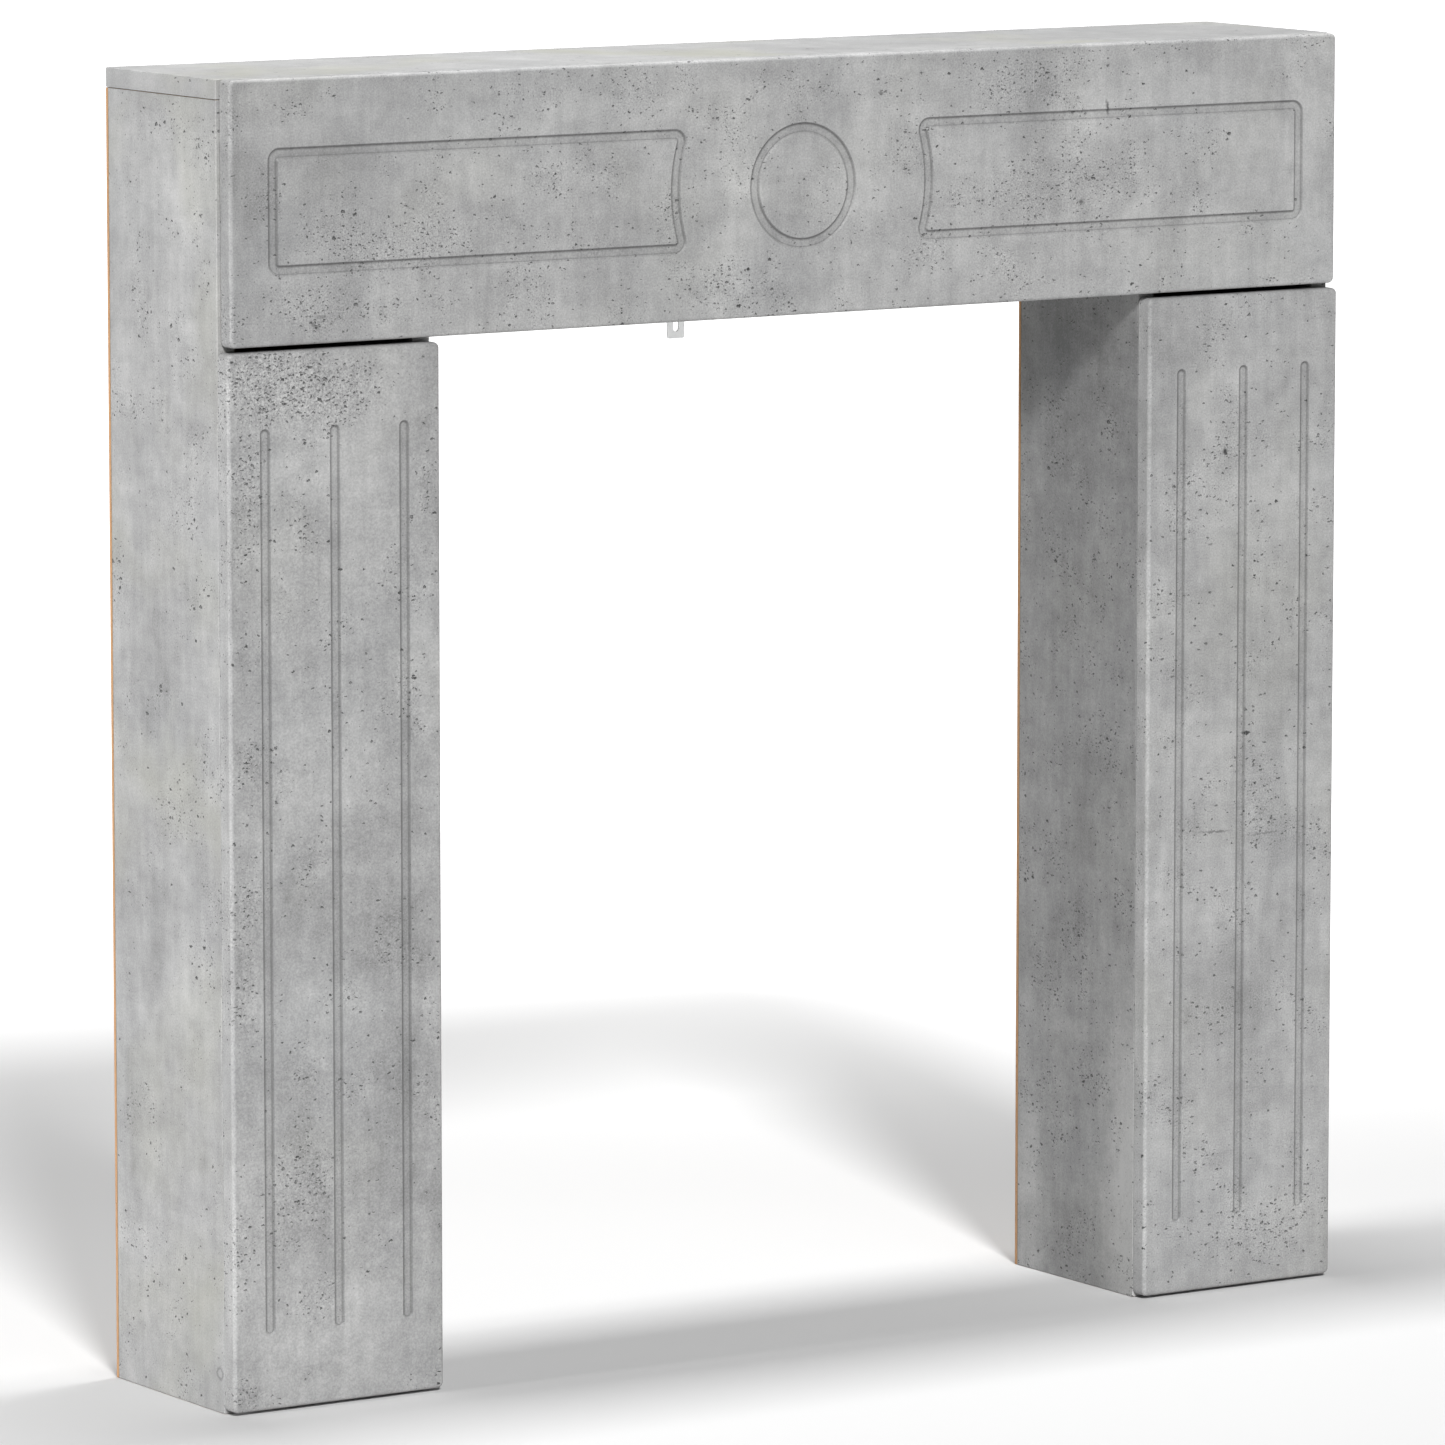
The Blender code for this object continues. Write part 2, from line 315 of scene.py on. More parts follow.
def paint_groove_shade_and_edge_light(piece, node, sizes, pale):
    """Paint shade into the grooves and light or shade onto the left edge, as a tone on the print.

    Groove floors get a little painted shade, upright walls more and walls that face down most,
    while walls that face up get none. The faces of the board's left edge that look left get
    painted light, or painted shade where pale is negative.
    """
    low, high = corners(node)
    rim = sizes.front_edge + 0.001

    # Shares of the depth over which a wall's painted shade comes and goes, and an upright wall's share
    comes_in = 0.15
    goes_out = 0.06
    upright = 0.60
    tone = piece.data.attributes.new(painted_shading, "FLOAT", "POINT")
    for vertex, value in zip(piece.data.vertices, tone.data):
        x, y, z = vertex.co
        deep = (y - low.y) / sizes.groove_depth
        value.value = 1.0
        # Painted light on the left edge's faces that look left, or painted shade where pale is negative
        if x < low.x + sizes.front_edge:
            value.value = 1.0 + pale * max(-vertex.normal.x, 0.0)
        # Painted shade in the grooves: more on the walls than on the floor, most where a wall faces down
        elif low.x + rim < x < high.x - rim and low.z + rim < z < high.z - rim and 0.0 < deep < 1.01:
            deep = min(deep, 1.0)
            faces_up = min(max(vertex.normal.z * 3.0, 0.0), 1.0)
            faces_down = min(max(vertex.normal.z * -2.0, 0.0), 1.0)
            wall = min(deep / comes_in, (1.0 - deep) / goes_out, 1.0)
            wall *= (upright + (1.0 - upright) * faces_down) * (1.0 - faces_up)
            value.value = 1.0 - (1.0 - sizes.floor_painted_shade_tone) * deep - (1.0 - sizes.wall_painted_shade_tone) * wall


def finish_front(piece, node, scene, foil, pale):
    """Paint shade into a routed front board's grooves and light or shade onto its left edge, and
    finish it, with plain paper on its back.
    """
    paint_groove_shade_and_edge_light(piece, node, scene.surround_shape, pale)
    paper = shared("melamine_backing_paper", backing_paper, scene.surround_finish)
    finish_piece(piece, node, foil, paper, lambda face: face.normal.y > 0.9)


def plain_board(name, edge, steps=3):
    """Square board in the place of its solid, with rounded edges."""
    low, high = corners(name)
    shape = bmesh.new()
    bmesh.ops.create_cube(shape, size=1.0)
    bmesh.ops.scale(shape, vec=high - low, verts=shape.verts)
    bmesh.ops.translate(shape, vec=(low + high) / 2, verts=shape.verts)
    bmesh.ops.bevel(shape, geom=list(shape.edges), offset=edge, segments=steps, profile=0.5,
                    affect="EDGES", clamp_overlap=True)
    return new_piece(name, shape)


def front_board(name, sizes, steps=8):
    """Front board in the place of its solid, its face edge and outline rounded."""
    low, high = corners(name)
    middle, half_width, half_height = face_of(name)
    outer = sizes.front_edge + sizes.front_corner
    sections = [(inset, high.y - deep) for inset, deep in rounded_edge(sizes.rear_edge, 3)]
    sections += [(inset, low.y + deep) for inset, deep in reversed(rounded_edge(sizes.front_edge, steps))]
    board = bmesh.new()
    loft(board, [(rounded_rectangle(middle, half_width - inset, half_height - inset, outer - inset, steps), y)
                 for inset, y in sections])
    return new_piece(name, board)


def groove_wall_profile(sizes, steps=5):
    """Half section of a groove, as distance in from its nominal edge and depth.

    A wrapped edge can't be sharp: the foil leaves the face over a small lip, runs down the
    wall, turns over a small foot and flattens out into the floor.
    """
    slope = sizes.groove_slope
    reach = math.tan(slope / 2)
    dish = sizes.groove_depth * 0.94
    half_run = dish / math.tan(slope) / 2
    lip = sizes.groove_lip
    foot = sizes.groove_foot
    points = []
    for step in range(steps + 1):
        angle = slope * step / steps
        across = sizes.groove_wall / 2 - half_run + lip * (math.sin(angle) - reach)
        points.append((across, lip * (1 - math.cos(angle))))
    for step in range(steps + 1):
        angle = slope * (1 - step / steps)
        across = sizes.groove_wall / 2 + half_run + foot * (reach - math.sin(angle))
        points.append((across, dish - foot * (1 - math.cos(angle))))
    points.append((sizes.groove_wall + sizes.groove_dish, sizes.groove_depth))
    return points


def flute_cutter(shape, sizes, face_y, x, low, high, steps=16):
    """Straight groove with round ends."""
    radius = sizes.groove_width / 2
    profile = groove_wall_profile(sizes)
    sections = []
    for inset, deep in [(profile[0][0], -cutter_lift)] + profile:
        outline = round_ended_slot(x, low + inset, high - inset, radius - inset, steps)
        sections.append((outline, face_y + deep))
    loft(shape, sections)


def groove_section(sizes, core):
    """Whole section of a groove that runs round an island, offset from the island's core."""
    half = groove_wall_profile(sizes)
    section = [(core + inset, deep) for inset, deep in half]
    section += [(core + sizes.groove_width - inset, deep) for inset, deep in reversed(half)]
    return [(section[0][0], -cutter_lift)] + section + [(section[-1][0], -cutter_lift)]


def outline_groove(shape, section, face_y, stations):
    """Groove that runs once round an outline, on its outer side.

    Each station is a point of the outline and the direction pointing out of it. At a corner
    several directions share the point, so the groove turns round it.
    """
    rows = []
    for (x, z), (out_x, out_z) in stations:
        rows.append([shape.verts.new((x + out_x * offset, face_y + deep, z + out_z * offset))
                     for offset, deep in section])
    for row, following in zip(rows, rows[1:] + rows[:1]):
        for index in range(len(section)):
            after = (index + 1) % len(section)
            shape.faces.new((row[index], row[after], following[after], following[index]))


def turned_directions(point, start, end, steps):
    """Stations that swing round one point, from one angle to another in degrees."""
    return [(point, direction) for direction in arc(0.0, 0.0, 1.0, start, end, steps)]


def panel_stations(side, near, far, half_height, hollow_radius, fan_steps=10, arc_steps=28):
    """Stations round a panel that is hollowed at the end next to the ring."""
    centre = near - hollow_radius
    lean = math.degrees(math.asin(half_height / hollow_radius))
    corner = centre + math.sqrt(hollow_radius ** 2 - half_height ** 2)
    stations = turned_directions((far, half_height), 0, 90, fan_steps)
    stations += turned_directions((corner, half_height), 90, 180 + lean, fan_steps)
    hollow = arc(centre, 0.0, hollow_radius, lean, -lean, arc_steps)[1:-1]
    stations += [((x, z), ((centre - x) / hollow_radius, -z / hollow_radius)) for x, z in hollow]
    stations += turned_directions((corner, -half_height), 180 - lean, 270, fan_steps)
    stations += turned_directions((far, -half_height), 270, 360, fan_steps)
    return [((side * x, z), (side * out_x, out_z)) for (x, z), (out_x, out_z) in stations]


# Materials


def toned(colour_value, amount):
    """A colour made darker, or lighter, by a factor."""
    return tuple(min(channel * amount, 1.0) for channel in colour_value)


def fill(node, inputs):
    """Fill a node's inputs with values and colours, or link them to sockets or to other nodes."""
    for key, value in inputs.items():
        socket = node.inputs[key]
        if isinstance(value, bpy.types.Node):
            value = next(output for output in value.outputs if output.enabled)
        if isinstance(value, bpy.types.NodeSocket):
            node.id_data.links.new(value, socket)
        elif socket.type == "RGBA":
            socket.default_value = (*value, 1.0)
        else:
            socket.default_value = value


def add_node(tree, kind, inputs=None, **settings):
    """Add a node, apply its settings and fill its inputs."""
    node = tree.nodes.new("ShaderNode" + kind)
    for setting, value in settings.items():
        setattr(node, setting, value)
    fill(node, inputs or {})
    return node


def new_material(name, roughness, metallic=0.0, ior=1.5):
    """A material, the means to add a node to it, its shader and its place on the object."""
    material = bpy.data.materials.new(name)
    material.use_nodes = True
    shader = material.node_tree.nodes["Principled BSDF"]
    fill(shader, {"Roughness": roughness, "Metallic": metallic, "IOR": ior})
    add = partial(add_node, material.node_tree)
    return material, add, shader, add("TexCoord").outputs["Object"]


def add_patches(add, total, place, plane, patches):
    """Add soft round patches to a running value, each with its own strength.

    A patch is full in its middle and nothing at its rim, and reaches through the whole board.
    """
    first, second = plane
    for across, up, half_across, half_up, turn, strength in patches:
        centre = [0.0, 0.0, 0.0]
        tilt = [0.0, 0.0, 0.0]
        reach = [20.0, 20.0, 20.0]
        centre[first], centre[second] = across / 1000, up / 1000
        reach[first], reach[second] = half_across / 1000, half_up / 1000
        tilt[3 - first - second] = math.radians(turn)
        local = add("Mapping", {"Vector": place, "Location": centre, "Rotation": tilt, "Scale": reach},
                    vector_type="TEXTURE")
        away = add("VectorMath", {0: local}, operation="LENGTH")
        fall = add("MapRange", {"Value": away, "From Min": 1.0, "From Max": 0.15},
                   interpolation_type="SMOOTHSTEP")
        total = add("Math", {0: fall, 1: strength, 2: total}, operation="MULTIPLY_ADD")
    return total


def pore_layer(add, place, density, cell, radius, softness, hollow):
    """Scattered spots, one at most in each cell, larger and more frequent where density is high.

    A hollow one is printed as the crescent of shade under its upper rim, over a paler pit. The
    second value is the pale rim under each spot.
    """
    stretched = add("Mapping", {"Vector": place, "Scale": (0.78, 0.78, 1.1)})
    cells = add("TexVoronoi", {"Vector": stretched, "Scale": 1 / cell, "Randomness": 1.0})
    chance = add("SeparateColor", {0: cells.outputs["Color"]}).outputs
    drawn = add("Math", {0: chance[0], 1: density}, operation="LESS_THAN")
    size = add("MapRange", {"Value": chance[1], "To Min": 0.25 * radius, "To Max": radius})
    kept = add("Math", {0: size, 1: drawn}, operation="MULTIPLY")
    away = add("VectorMath", {0: stretched, 1: cells.outputs["Position"]}, operation="SUBTRACT")
    spots = []
    for drop, part in ((0.0, 1.0), (0.5 * radius, 0.85)):
        moved = add("VectorMath", {0: away, 1: (0.0, 0.0, drop)}, operation="ADD")
        reach = add("VectorMath", {0: moved}, operation="LENGTH")
        edge = add("Math", {0: kept, 1: part}, operation="MULTIPLY")
        inside = add("Math", {0: edge, 1: reach}, operation="SUBTRACT")
        spots.append(add("Math", {0: inside, 1: 1 / softness}, operation="MULTIPLY", use_clamp=True))
    whole, pit = spots
    shade = add("Math", {0: pit, 1: -hollow, 2: whole}, operation="MULTIPLY_ADD", use_clamp=True)
    rim = add("Math", {0: pit, 1: whole}, operation="SUBTRACT", use_clamp=True)
    return shade, rim


def mottled(add, place, size, detail, tone, darkest):
    """A colour that varies softly down to a darker share of itself, after the noise that does it."""
    noise = add("TexNoise", {"Vector": place, "Scale": 1 / size, "Detail": detail})
    return noise, add("Mix", {share_over: noise, under: toned(tone, darkest), over: tone}, data_type="RGBA")


def fine_texture(add, shader, place, size, glossy, dull, strength):
    """Fine unevenness, which breaks up the shine of a surface and leaves a slight relief."""
    noise = add("TexNoise", {"Vector": place, "Scale": 1 / size, "Detail": 1.0})
    sheen = add("MapRange", {"Value": noise, "To Min": glossy, "To Max": dull})
    relief = add("Bump", {"Height": noise, "Strength": strength, "Distance": 0.0002})
    fill(shader, {"Roughness": sheen, "Normal": relief})


def concrete_foil(name, finish, shift, plane, clouds=(), pores=(), strokes=(), routed=False, warmth=0.10,
                  contrast=1.0, grain=0.75, pitted=1.0):
    """Concrete print on a wrapped PVC foil, calendered and finely embossed.

    To the eye it is a matt grey with soft clouds of all sizes and scattered dark pores. All of
    that is ink, so it has no relief, except that routed boards also take painted shade in their
    grooves and painted light or shade on their left edge, and some patches on the right inner side
    are painted light and shade. The emboss alone breaks up the shine, and is drawn at 1 mm
    because the real 0.2 mm grain is too fine to show.
    """
    material, add, shader, where = new_material(name, 0.5, ior=1.52)
    sheet = add("Mapping", {"Vector": where, "Location": shift})

    # Ink edges wander by about 2 mm, clouds by about 25 mm
    places = []
    for size, amount in ((0.0026, 0.0038), (0.06, 0.05)):
        wander = add("TexNoise", {"Vector": sheet, "Scale": 1 / size, "Detail": 2.0}).outputs["Color"]
        centred = add("VectorMath", {0: wander, 1: (0.5, 0.5, 0.5)}, operation="SUBTRACT")
        for start in (sheet, where):
            places.append(add("VectorMath", {0: centred, 1: (amount,) * 3, 2: start},
                              operation="MULTIPLY_ADD"))
    ink_place, stroke_place, cloud_place, patch_place = places

    # Pores gather in patches of about 40 mm, where the print is also rougher
    crowd = add("TexNoise", {"Vector": sheet, "Scale": 1 / 0.045, "Detail": 3.0, "Roughness": 0.6})
    density = add("MapRange", {"Value": crowd, "From Min": 0.50, "From Max": 0.70,
                               "To Min": 0.05 * pitted, "To Max": 0.62 * pitted})
    density = add_patches(add, density, patch_place, plane, pores)
    rough = add("MapRange", {"Value": density, "To Min": 0.75 * grain, "To Max": 1.9 * grain})

    # Clouds of 200 mm down to grain of 1 mm, as size, detail, strength and stretch
    layers = (
        (0.22, 1.0, 0.40, (1, 1, 1)), (0.06, 2.0, 0.36, (1, 1, 1)), (0.014, 3.0, 0.38, (1, 1, 1)),
        (0.0014, 1.0, rough, (1, 1, 1)), (0.05, 3.0, 0.46, (1, 1, 0.15)),
        (0.05, 3.0, 0.32, (0.16, 0.16, 1)), (0.007, 2.0, 0.24, (1, 1, 0.12)),
        (0.009, 2.0, 0.12, (0.12, 0.12, 1)),
    )
    shade = 0.5
    for size, detail, strength, stretch in layers:
        place = cloud_place if size > 0.02 else sheet
        spread = add("Mapping", {"Vector": place, "Scale": stretch})
        noise = add("TexNoise", {"Vector": spread, "Scale": 1 / size, "Detail": detail, "Roughness": 0.6})
        centred = add("MapRange", {"Value": noise, "To Min": -0.5 * contrast, "To Max": 0.5 * contrast},
                      clamp=False)
        shade = add("Math", {0: centred, 1: strength, 2: shade}, operation="MULTIPLY_ADD")
    shade = add_patches(add, shade, patch_place, plane, clouds)
    base = add("ValToRGB", {0: shade})
    base.color_ramp.elements.new(0.5)
    greys = (finish.print_dark, finish.print_mid, finish.print_light)
    for stop, grey in zip(base.color_ramp.elements, greys):
        stop.color = (*grey, 1.0)

    # Faint warm and cool patches of about 120 mm
    tints = ((finish.print_warm, warmth, (3.1, 0.4, 1.7)), (finish.print_cool, 0.10, (0.7, 2.9, 4.3)))
    for tint, most, offset in tints:
        spread = add("Mapping", {"Vector": cloud_place, "Location": offset})
        noise = add("TexNoise", {"Vector": spread, "Scale": 1 / 0.12, "Detail": 2.0})
        amount = add("MapRange", {"Value": noise, "From Min": 0.50, "From Max": 0.75, "To Max": most})
        base = add("Mix", {share_over: amount, under: base, over: tint}, data_type="RGBA")

    # Air holes of three sizes, as spacing, radius, strength and how hollow they look
    soft_rim = 0.0003
    holes = ((0.0015, 0.0007, 0.66, 0.0), (0.0028, 0.0013, 0.92, 0.50), (0.0080, 0.0019, 1.00, 0.35))
    for cell, radius, strength, hollow in holes:
        spots, rims = pore_layer(add, ink_place, density, cell, radius, soft_rim, hollow)
        for mask, most, tone in ((rims, 0.35, finish.print_light), (spots, strength, finish.pore)):
            amount = add("Math", {0: mask, 1: most}, operation="MULTIPLY")
            base = add("Mix", {share_over: amount, under: base, over: tone}, data_type="RGBA")

    # Single marks of the print, then the painted shade of the grooves and the painted light or shade
    # of the left edge, read from the mesh
    if strokes:
        amount = add_patches(add, 0.0, stroke_place, plane, strokes)
        base = add("Mix", {share_over: amount, under: base, over: finish.pore}, data_type="RGBA")
    if routed:
        tone = add("Attribute", attribute_name=painted_shading).outputs["Fac"]
        base = add("Mix", {share_over: 1.0, under: base, over: tone}, data_type="RGBA", blend_type="MULTIPLY")
    fill(shader, {"Base Color": base})
    fine_texture(add, shader, sheet, 0.001, 0.52, 0.64, 0.12)
    return material


def fibre_material(name, tone, fibre, roughness, depth):
    """Pressed wood fibre, with short strands that lie every way and scattered dark flecks.

    To the eye it is a dull, quite matt brown that is never one flat colour.
    """
    material, add, shader, where = new_material(name, roughness)
    wander = add("TexNoise", {"Vector": where, "Scale": 1 / (fibre * 4), "Detail": 2.0}).outputs["Color"]
    moved = add("VectorMath", {0: wander, 1: (fibre * 6,) * 3, 2: where}, operation="MULTIPLY_ADD")
    amount = 0.5
    noises = []
    for size, detail, strength in ((fibre, 3.0, 1.1), (fibre * 5, 2.0, 0.5), (0.12, 2.0, 0.25)):
        noise = add("TexNoise", {"Vector": moved, "Scale": 1 / size, "Detail": detail, "Roughness": 0.7})
        centred = add("Math", {0: noise, 1: 0.5}, operation="SUBTRACT")
        amount = add("Math", {0: centred, 1: strength, 2: amount}, operation="MULTIPLY_ADD")
        noises.append(noise)
    base = add("Mix", {share_over: amount, under: toned(tone, 0.66), over: toned(tone, 1.3)},
               data_type="RGBA")
    flecks = pore_layer(add, moved, 0.22, fibre * 4, fibre * 1.1, fibre * 0.5, 0.0)[0]
    fleck_amount = add("Math", {0: flecks, 1: 0.6}, operation="MULTIPLY")
    base = add("Mix", {share_over: fleck_amount, under: base, over: toned(tone, 0.35)}, data_type="RGBA")
    relief = add("Bump", {"Height": noises[0], "Strength": 0.3, "Distance": depth})
    fill(shader, {"Base Color": base, "Normal": relief})
    return material


def backing_paper(finish):
    """Melamine backing paper, plain grey and smooth, with a faint mottle from the press."""
    material, add, shader, where = new_material("melamine_backing_paper", 0.42)
    fill(shader, {"Base Color": mottled(add, where, 0.02, 4.0, finish.backing, 0.9)[1]})
    return material


def powder_coat(finish):
    """Pale grey powder coat on pressed steel: an even colour, with a slight orange peel that
    softens its highlights."""
    material, add, shader, where = new_material("powder_coated_steel", 0.42)
    fill(shader, {"Base Color": finish.strap})
    fine_texture(add, shader, where, 0.0009, 0.36, 0.5, 0.2)
    return material


def zinc_plate(finish):
    """Bright zinc plating on steel: a cool metal, blurred a little and unevenly by the bath."""
    material, add, shader, where = new_material("zinc_plated_steel", 0.3, metallic=1.0)
    bath, base = mottled(add, where, 0.0015, 3.0, finish.zinc, 0.8)
    sheen = add("MapRange", {"Value": bath, "To Min": 0.22, "To Max": 0.42})
    fill(shader, {"Base Color": base, "Roughness": sheen})
    return material


def shared(name, make, *values):
    """A material that several pieces share, made when the first of them asks."""
    return bpy.data.materials.get(name) or make(*values)


def board_core(finish):
    """Raw medium-density fibreboard, where the foil ends on a sawn edge."""
    return shared("raw_fibreboard", fibre_material, "raw_fibreboard", finish.core, 0.0008, 0.85, 0.0004)


# Which part of the print each board shows, with patches as across, up, half across, half up,
# turn and strength, in millimetres and degrees
front_plane = (0, 2)
side_plane = (1, 2)
top_plane = (0, 1)

header_clouds = [
    (130, 900, 640, 260, 0, 0.09), (252, 962, 62, 46, 0, 0.05), (-55, 970, 62, 40, 0, 0.05),
    (-488, 919, 24, 52, 0, -0.14), (-420, 960, 60, 34, 0, 0.04), (430, 930, 90, 60, 0, 0.06),
    (-354, 930, 75, 70, 0, -0.09), (-258, 868, 85, 55, 20, -0.09), (-145, 945, 75, 62, -15, 0.08),
    (-60, 900, 34, 80, 0, 0.09), (55, 905, 75, 62, 0, 0.15), (-40, 822, 95, 22, 0, -0.09),
    (160, 940, 75, 60, 20, 0.05), (262, 950, 70, 45, 0, 0.11), (250, 893, 60, 30, 15, -0.05),
    (350, 940, 75, 60, 0, 0.06), (-230, 975, 90, 25, 0, 0.04),
]
header_pores = [
    (-385, 877, 95, 36, 0, 0.55), (-420, 832, 80, 26, 0, 0.22), (-65, 827, 70, 30, 0, 0.42),
    (245, 888, 115, 42, 0, 0.42), (215, 979, 95, 26, 0, 0.38), (-150, 972, 55, 24, 0, 0.36),
    (-400, 962, 120, 30, 0, -0.60), (430, 930, 85, 70, 0, -0.35), (30, 930, 60, 40, 0, -0.25),
]
header_strokes = [
    (259, 877, 3.4, 3.0, 0, 0.7), (284, 950, 2.2, 9, -12, 0.8), (44, 855, 0.9, 3.2, 0, 1.0),
    (71, 969, 3.6, 2.0, 20, 0.6), (-434, 816, 7.5, 2.4, 40, 0.5), (-428, 822, 8.5, 1.6, 5, 0.4),
]
left_leg_clouds = [
    (-416, 755, 110, 85, 0, 0.08), (-416, 200, 120, 140, 0, -0.10), (-380, 350, 70, 52, 0, -0.04),
    (-440, 740, 95, 75, 0, 0.12), (-478, 650, 45, 65, 0, 0.10), (-440, 690, 60, 60, 0, 0.05),
    (-355, 560, 50, 60, 0, 0.05), (-410, 560, 90, 30, 0, -0.08), (-395, 365, 85, 55, 0, -0.15),
    (-380, 430, 110, 30, 0, -0.09), (-450, 320, 50, 60, 0, 0.05), (-443, 171, 48, 50, 0, 0.07),
    (-370, 250, 40, 60, 0, -0.04), (-416, 60, 95, 52, 0, 0.06),
]
left_leg_pores = [
    (-478, 772, 66, 40, 0, 1.20), (-420, 770, 55, 28, 0, 0.70), (-488, 705, 22, 60, 0, 0.50),
    (-352, 532, 16, 40, 0, 0.45), (-443, 171, 50, 50, 0, 0.32), (-380, 690, 40, 70, 0, -0.30),
    (-416, 45, 110, 60, 0, -0.45),
]
right_leg_clouds = [
    (416, 215, 120, 130, 0, -0.09),
    (380, 720, 50, 60, 0, 0.02), (470, 755, 50, 45, 0, 0.07), (430, 560, 70, 60, 0, 0.06),
    (405, 460, 70, 60, 0, 0.09), (470, 340, 50, 120, 0, -0.07), (440, 390, 60, 80, 0, -0.05),
    (400, 230, 80, 60, 0, -0.04), (435, 60, 95, 55, 0, 0.11),
]
right_leg_pores = [
    (441, 392, 34, 64, 0, 0.50), (430, 50, 80, 38, 0, 0.42), (380, 640, 50, 60, 0, 0.20),
    (380, 600, 30, 40, 0, -0.25),
]
right_leg_strokes = [
    (399, 674, 3.6, 3.6, 0, 1.1), (422, 448, 5.2, 2.2, 0, 1.6), (392, 371, 22, 1.4, 2, 0.6),
    (440, 366, 20, 1.3, -2, 0.5),
]
left_side_clouds = [
    (-40, 900, 50, 70, 0, 0.08), (50, 800, 60, 75, 0, 0.12), (30, 565, 60, 75, 0, -0.15),
    (-40, 490, 40, 60, 0, -0.09), (-30, 330, 50, 60, 0, 0.09), (20, 290, 60, 80, 0, 0.08),
    (10, 175, 50, 60, 0, 0.06),
]
left_side_pores = [(-20, 962, 60, 26, 0, 0.40), (-20, 462, 60, 40, 0, 0.42), (-40, 700, 30, 60, 0, 0.3)]
left_side_strokes = [(-69.5, 30, 6.8, 6.8, 0, 1.0), (-69.5, 30, 4.4, 4.4, 0, -1.5)]
# Patches of the right inner side: print clouds, with painted shade over the top where the header's shadow
# falls and painted light low down towards the front and back, where light bounces up off the floor
right_inner_print_and_painted_light = [
    (30, 790, 150, 140, 0, -0.20), (10, 600, 60, 150, 0, -0.08), (0, 330, 46, 260, 0, -0.12),
    (0, 740, 220, 250, 0, -0.15), (-66, 110, 52, 220, 0, 0.32), (-60, 50, 70, 110, 0, 0.20),
    (74, 60, 40, 140, 0, 0.16), (-66, 400, 30, 160, 0, 0.08),
]


# Operators, one for each piece or group of like pieces


class SURROUND_OT_header_front(Operator):
    """Build the header's front board, with its ring and two panels"""

    bl_idname = "surround.header_front"
    bl_label = "Header front"

    def execute(self, context):
        sizes = context.scene.surround_shape
        piece = front_board("header_front", sizes)
        face_y = corners("header_front")[0].y
        (_, middle), half_width, half_height = face_of("header_front")
        core = sizes.island_corner
        section = groove_section(sizes, core)
        cutter = bmesh.new()
        ring_outer = half_height - sizes.ring_margin
        ring_core = ring_outer - sizes.groove_width - core
        directions = arc(0.0, 0.0, 1.0, 0, 360, 120)[:-1]
        ring = [((ring_core * x, middle + ring_core * z), (x, z)) for x, z in directions]
        outline_groove(cutter, section, face_y, ring)
        near = ring_outer + sizes.ring_to_panel + sizes.groove_width
        far = half_width - sizes.panel_end - sizes.groove_width
        panel_half_height = half_height - sizes.panel_margin - sizes.groove_width
        for side in (-1, 1):
            stations = panel_stations(side, near + core, far - core, panel_half_height - core,
                                      sizes.panel_arc + core)
            raised = [((x, z + middle), direction) for (x, z), direction in stations]
            outline_groove(cutter, section, face_y, raised)
        carve(piece, cutter)
        foil = concrete_foil("concrete_foil_header", context.scene.surround_finish, (0.0, 0.0, 0.0),
                             front_plane, header_clouds, header_pores, header_strokes, routed=True)
        # The header's left edge gets a little painted shade
        finish_front(piece, "header_front", context.scene, foil, -0.06)
        return {"FINISHED"}


class SURROUND_OT_leg_fronts(Operator):
    """Build the fluted front boards of the legs"""

    bl_idname = "surround.leg_fronts"
    bl_label = "Leg fronts"

    def execute(self, context):
        sizes = context.scene.surround_shape
        finish = context.scene.surround_finish
        # Each mark gives the print's shift, the painted light on the board's left edge, and the print's
        # patches and marks; the right leg's left edge, inside the opening, is painted lighter
        marks = {
            "left_leg_front": ((2.3, 0.6, 0.9), 0.0, left_leg_clouds, left_leg_pores, ()),
            "right_leg_front": ((5.1, 1.9, 3.3), 0.40, right_leg_clouds, right_leg_pores, right_leg_strokes),
        }
        for node, (shift, pale, clouds, pores, strokes) in marks.items():
            piece = front_board(node, sizes)
            low, high = corners(node)
            first = low.x + sizes.flute_side + sizes.groove_width / 2
            last = high.x - sizes.flute_side - sizes.groove_width / 2
            cutter = bmesh.new()
            for number in range(sizes.flute_count):
                x = first + (last - first) * number / max(sizes.flute_count - 1, 1)
                flute_cutter(cutter, sizes, low.y, x, low.z + sizes.flute_end, high.z - sizes.flute_end)
            carve(piece, cutter)
            foil = concrete_foil("concrete_foil_" + node, finish, shift, front_plane, clouds, pores, strokes,
                                 routed=True, pitted=0.85)
            finish_front(piece, node, context.scene, foil, pale)
        return {"FINISHED"}


